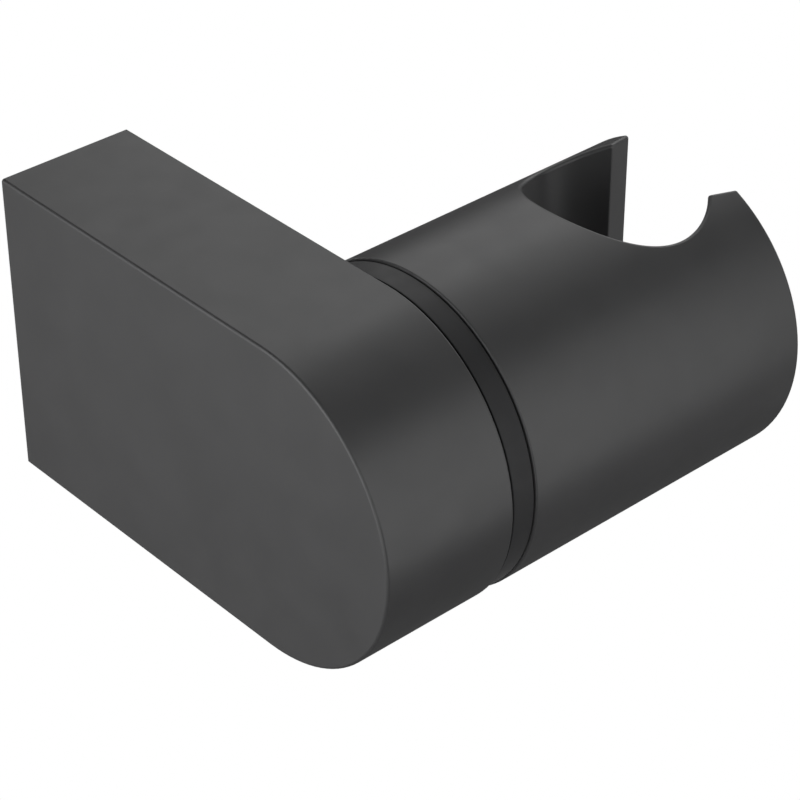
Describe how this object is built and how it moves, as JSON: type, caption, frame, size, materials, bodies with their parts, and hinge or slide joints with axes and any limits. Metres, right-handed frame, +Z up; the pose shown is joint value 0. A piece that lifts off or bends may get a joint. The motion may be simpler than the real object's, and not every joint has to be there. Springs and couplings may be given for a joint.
{
  "type": "hand shower holder",
  "caption": "Wall-mounted hand shower holder: a D-shaped housing and, beside it on a horizontal pivot, a round cradle whose upright seat and mouth take the handset's cone and hose.",
  "frame": {"origin": "on the wall, behind the middle of the housing's footprint, at the height of the pivot", "axes": "+X along the pivot towards the cradle, +Y into the wall, +Z up"},
  "size_m": [0.0718, 0.075, 0.045],
  "materials": {
    "black_coat": "matt black powder coat, very fine grain",
    "dark_plastic": "satin black plastic",
    "zinc_plate": "bare die casting",
    "steel": "turned stainless steel",
    "spring_steel": "rolled spring steel",
    "black_screw": "black oxide",
    "white_plastic": "natural acetal",
    "rubber_seal": "greased nitrile rubber"
  },
  "bodies": {
    "bracket": {"housing": "black_coat", "wall_plate": "zinc_plate", "grub_screw": "black_screw", "spacer_ring": "dark_plastic", "pivot_post": "steel", "lock_washer": "spring_steel", "post_nut": "steel", "thrust_washer": "white_plastic", "post_o_ring": "rubber_seal", "pressure_washer": "steel", "disc_spring_inner": "spring_steel", "disc_spring_outer": "spring_steel", "head_washer": "steel", "pivot_screw": "steel"},
    "cradle": {"cradle": "black_coat", "inner_bush": "white_plastic", "outer_bush": "white_plastic", "cover_cap": "dark_plastic"}
  },
  "joints": [
    {"name": "cradle_swivel", "type": "hinge", "parent": "bracket", "child": "cradle", "pos_m": [0.014, -0.0525, 0], "axis": [1, 0, 0], "continuous": true}
  ]
}
